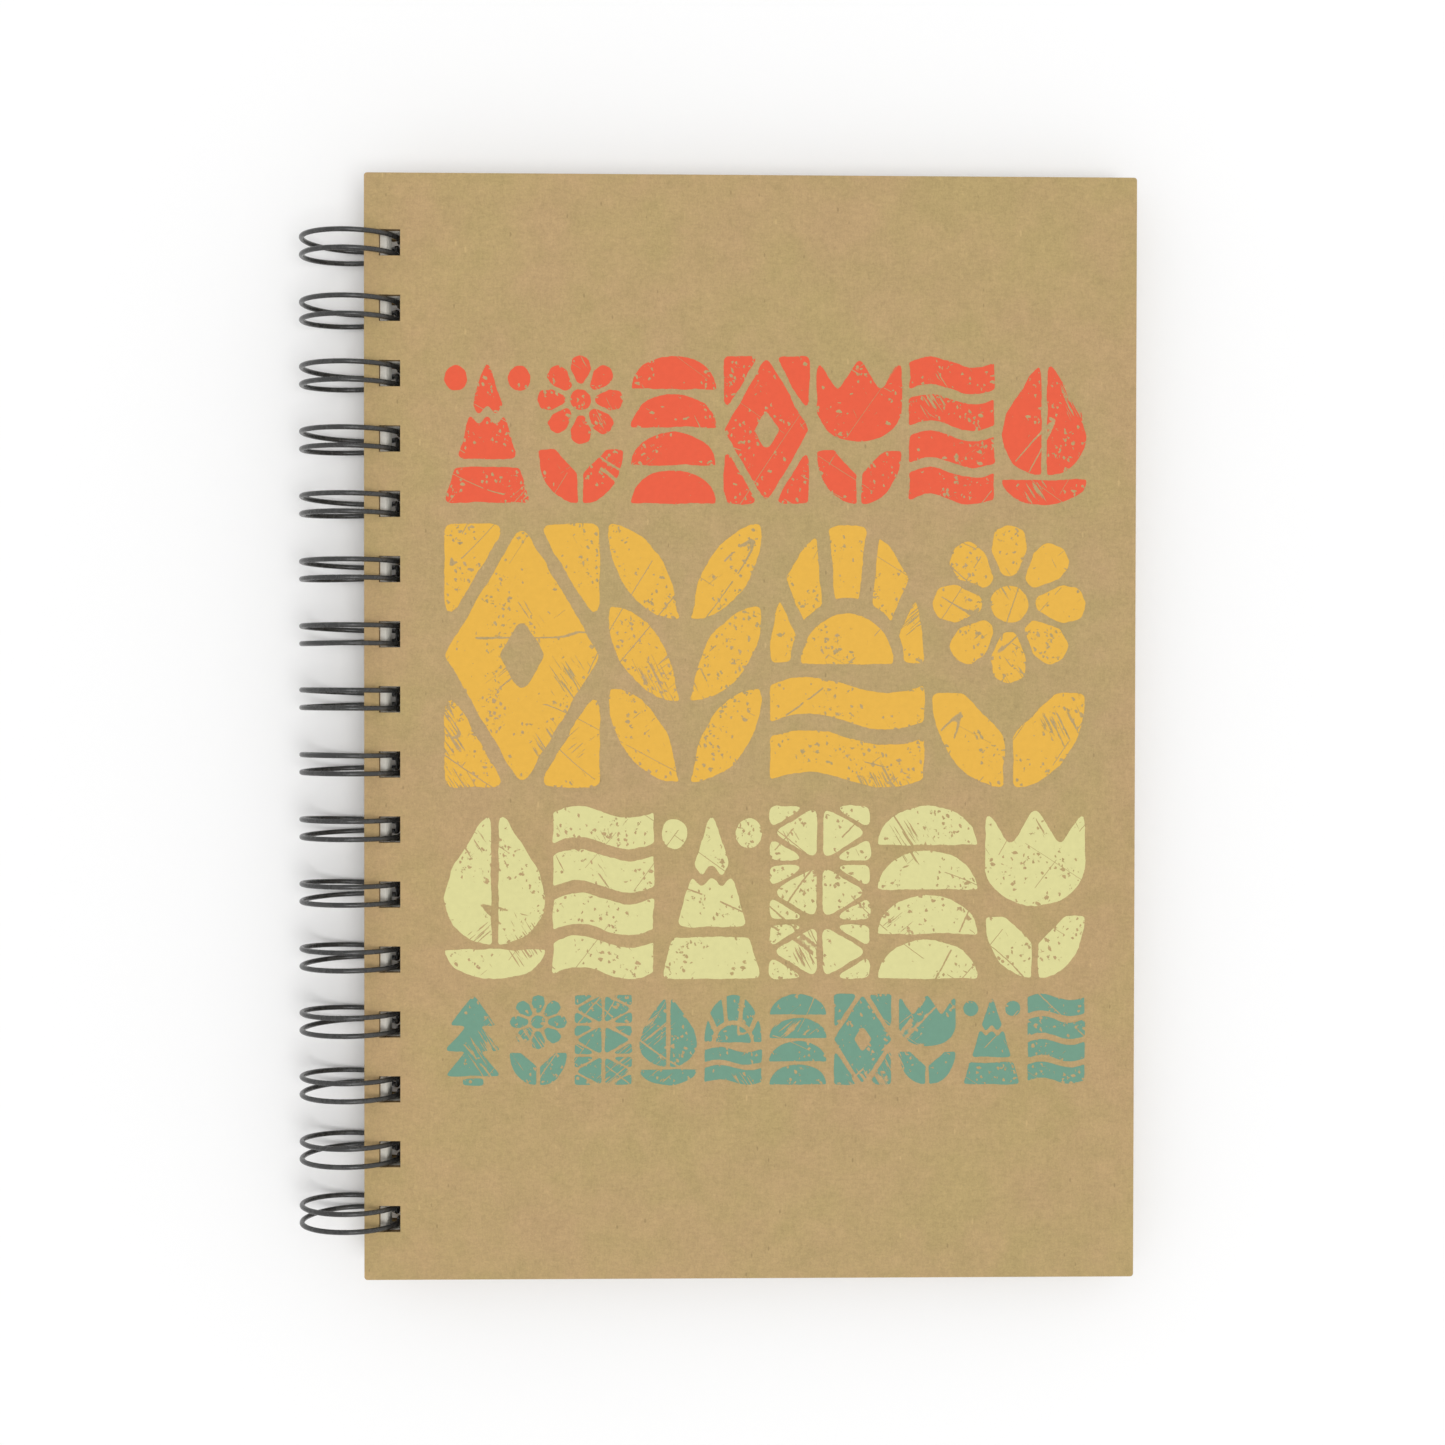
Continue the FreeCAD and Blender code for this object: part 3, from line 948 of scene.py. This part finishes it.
def ragged_loop(points, step, amount):
    """The outline walked in short steps, each moved sideways a little, as worn ink is."""
    found = []
    for start, end in zip(points, points[1:] + points[:1]):
        run = end - start
        count = max(1, round(run.length / step))
        normal = Vector((run.y, -run.x)).normalized() if run.length else Vector((0, 0))
        for part in range(count):
            place = start + run * (part / count)
            spot = Vector((place.x, place.y, 0.0))
            slow = noise.noise(spot * SLOW_WANDER)
            fast = noise.noise(spot * FAST_WANDER + NICKS_APART)
            found.append(place + normal * amount * (slow + NICKS * fast))
    return found


def row_outlines(left, right, top, height, shapes):
    """The outlines of a row of motifs of equal width, in metres from the spine edge and the head."""
    gap = (right - left) * CELL_GAP
    width = (right - left + gap) / len(shapes) - gap
    found = []
    for number, shape in enumerate(shapes):
        start = left + number * (width + gap)
        for outline in shape():
            found.append([Vector((start + x * width, -top - height + y * height)) for x, y in outline])
    return found


def inked_mesh(name, outlines, film):
    """A thin closed film of ink that fills the outlines, lying on its own zero level."""
    curve = bpy.data.curves.new(name, "CURVE")
    curve.dimensions = "2D"
    curve.fill_mode = "BOTH"
    curve.extrude = film / 2
    for outline in outlines:
        spline = curve.splines.new("POLY")
        spline.points.add(len(outline) - 1)
        for point, place in zip(spline.points, outline):
            point.co = (place.x, place.y, 0, 1)
        spline.use_cyclic_u = True
    holder = bpy.data.objects.new(name, curve)
    bpy.context.scene.collection.objects.link(holder)
    ready = holder.evaluated_get(bpy.context.evaluated_depsgraph_get())
    bm = bmesh.new()
    bm.from_mesh(bpy.data.meshes.new_from_object(ready))
    bpy.data.objects.remove(holder)
    bmesh.ops.remove_doubles(bm, verts=bm.verts, dist=SAME_POINT)
    bmesh.ops.recalc_face_normals(bm, faces=bm.faces)
    return as_mesh(name, bm)


class SKETCHBOOK_OT_print(Operator):
    """Print the four rows of shapes on the front cover"""

    bl_idname = "sketchbook.print"
    bl_label = "Print"

    def execute(self, context):
        settings = context.scene.sketchbook.ink
        kraft = context.scene.sketchbook.covers.kraft
        node = "front_cover_facing"
        seat = seat_of(node)
        across, along, _, top = punched_outline(node, seat)
        corner = Vector((across[0], along[-1]))
        for name, down, height, round_off, shapes in ROWS:
            outlines = row_outlines(settings.left, settings.right, down * MM, height * MM, shapes)
            ragged = settings.ragged * min(1, height / FULL_RAGGED)
            inked = []
            for outline in outlines:
                placed = [point + corner for point in outline]
                inked.append(ragged_loop(soft_loop(placed, round_off * MM), RAGGED_STEP, ragged))
            mesh = inked_mesh(f"print_{name}", inked, settings.film)
            mesh.transform(Matrix.Translation((0, 0, top + settings.film * INK_HEIGHT)))
            material = ink_material(f"ink_{name}", tuple(getattr(settings, name)), tuple(kraft))
            add_piece(f"print_{name}", mesh, seat, "front_cover", [], [material])
        return {"FINISHED"}


# ---------------------------------------------------------------- stage


FLOOR_REACH = 20.0  # from the book to each edge of the floor
KEY_PLACE = Vector((0.3, -0.25, 1.2))  # the key light's place over the fore edge and the tail
CAMERA_X = 0.00635  # from the middle of the book towards the fore edge
CAMERA_Y = 0.00621  # from the middle of the book towards the head
CAMERA_TURN = (-0.682, 0.687, 0.084)  # about X, Y and Z from looking straight down, in degrees
LENS = 54.4  # focal length in millimetres
SENSOR = 36  # width in millimetres
NEAREST = 0.01  # nothing closer to the camera than this is seen


def key_light(strength, spread, place):
    """A wide, far light that shines from a place towards the origin."""
    data = bpy.data.lights.new("key", "SUN")
    data.energy = strength
    data.angle = spread
    lamp = bpy.data.objects.new("key", data)
    lamp.location = place
    lamp.rotation_euler = (-place).to_track_quat("-Z", "Y").to_euler()
    bpy.context.scene.collection.objects.link(lamp)


def studio_sky(rim, zenith):
    """White light from all round, from one brightness at the horizon to another overhead."""
    world = bpy.data.worlds.new("studio")
    world.use_nodes = True
    world.node_tree.nodes.clear()
    graph = Graph(world.node_tree)
    way = graph.add("ShaderNodeTexCoord")
    rise = graph.add("ShaderNodeSeparateXYZ", None, {0: way}, 2)
    strength = rim + graph.ramp(rise, 0, 1) * (zenith - rim)
    light = graph.add("ShaderNodeBackground", None, {"Color": (1, 1, 1, 1), "Strength": strength})
    graph.add("ShaderNodeOutputWorld", None, {"Surface": light})
    return world


class SKETCHBOOK_OT_stage(Operator):
    """Lay the floor and set up the light and the camera"""

    bl_idname = "sketchbook.stage"
    bl_label = "Stage"

    def execute(self, context):
        settings = context.scene.sketchbook.stage
        scene = context.scene
        mesh = bpy.data.meshes.new("floor")
        far = FLOOR_REACH
        corners = [(-far, -far, 0), (far, -far, 0), (far, far, 0), (-far, far, 0)]
        mesh.from_pydata(corners, [], [(0, 1, 2, 3)])
        mesh.materials.append(floor_material(tuple(settings.floor)))
        floor = bpy.data.objects.new("floor", mesh)
        scene.collection.objects.link(floor)
        scene.world = studio_sky(settings.rim, settings.zenith)
        key_light(settings.key, settings.spread, KEY_PLACE)
        lens = bpy.data.cameras.new("camera")
        lens.sensor_width = SENSOR
        lens.lens = LENS
        lens.clip_start = NEAREST
        camera = bpy.data.objects.new("camera", lens)
        camera.location = (CAMERA_X, CAMERA_Y, settings.camera_height)
        camera.rotation_euler = [math.radians(angle) for angle in CAMERA_TURN]
        scene.collection.objects.link(camera)
        scene.camera = camera
        scene.view_settings.view_transform = "Standard"
        return {"FINISHED"}


# ---------------------------------------------------------------- panel and start


class SKETCHBOOK_PT_sidebar(Panel):
    """The sketchbook's settings, each group over the button that builds it"""

    bl_idname = "SKETCHBOOK_PT_sidebar"
    bl_label = "Sketchbook"
    bl_space_type = "VIEW_3D"
    bl_region_type = "UI"
    bl_category = "Sketchbook"

    def draw(self, context):
        for group, step in STEPS.items():
            settings = getattr(context.scene.sketchbook, group)
            box = self.layout.box()
            for name in type(settings).__annotations__:
                box.prop(settings, name)
            box.operator(step.bl_idname)


STEPS = {
    "covers": SKETCHBOOK_OT_covers,
    "leaves": SKETCHBOOK_OT_leaves,
    "wire": SKETCHBOOK_OT_wire,
    "ink": SKETCHBOOK_OT_print,
    "stage": SKETCHBOOK_OT_stage,
}
GROUPS = (CoverSettings, LeafSettings, WireSettings, PrintSettings, StageSettings, SketchbookSettings)
CLASSES = (*GROUPS, *STEPS.values(), SKETCHBOOK_PT_sidebar)


def register():
    for cls in CLASSES:
        bpy.utils.register_class(cls)
    bpy.types.Scene.sketchbook = PointerProperty(type=SketchbookSettings)


def unregister():
    del bpy.types.Scene.sketchbook
    for cls in reversed(CLASSES):
        bpy.utils.unregister_class(cls)


def main():
    register()
    for step in STEPS.values():
        family, action = step.bl_idname.split(".")
        getattr(getattr(bpy.ops, family), action)()


if __name__ == "__main__":
    main()
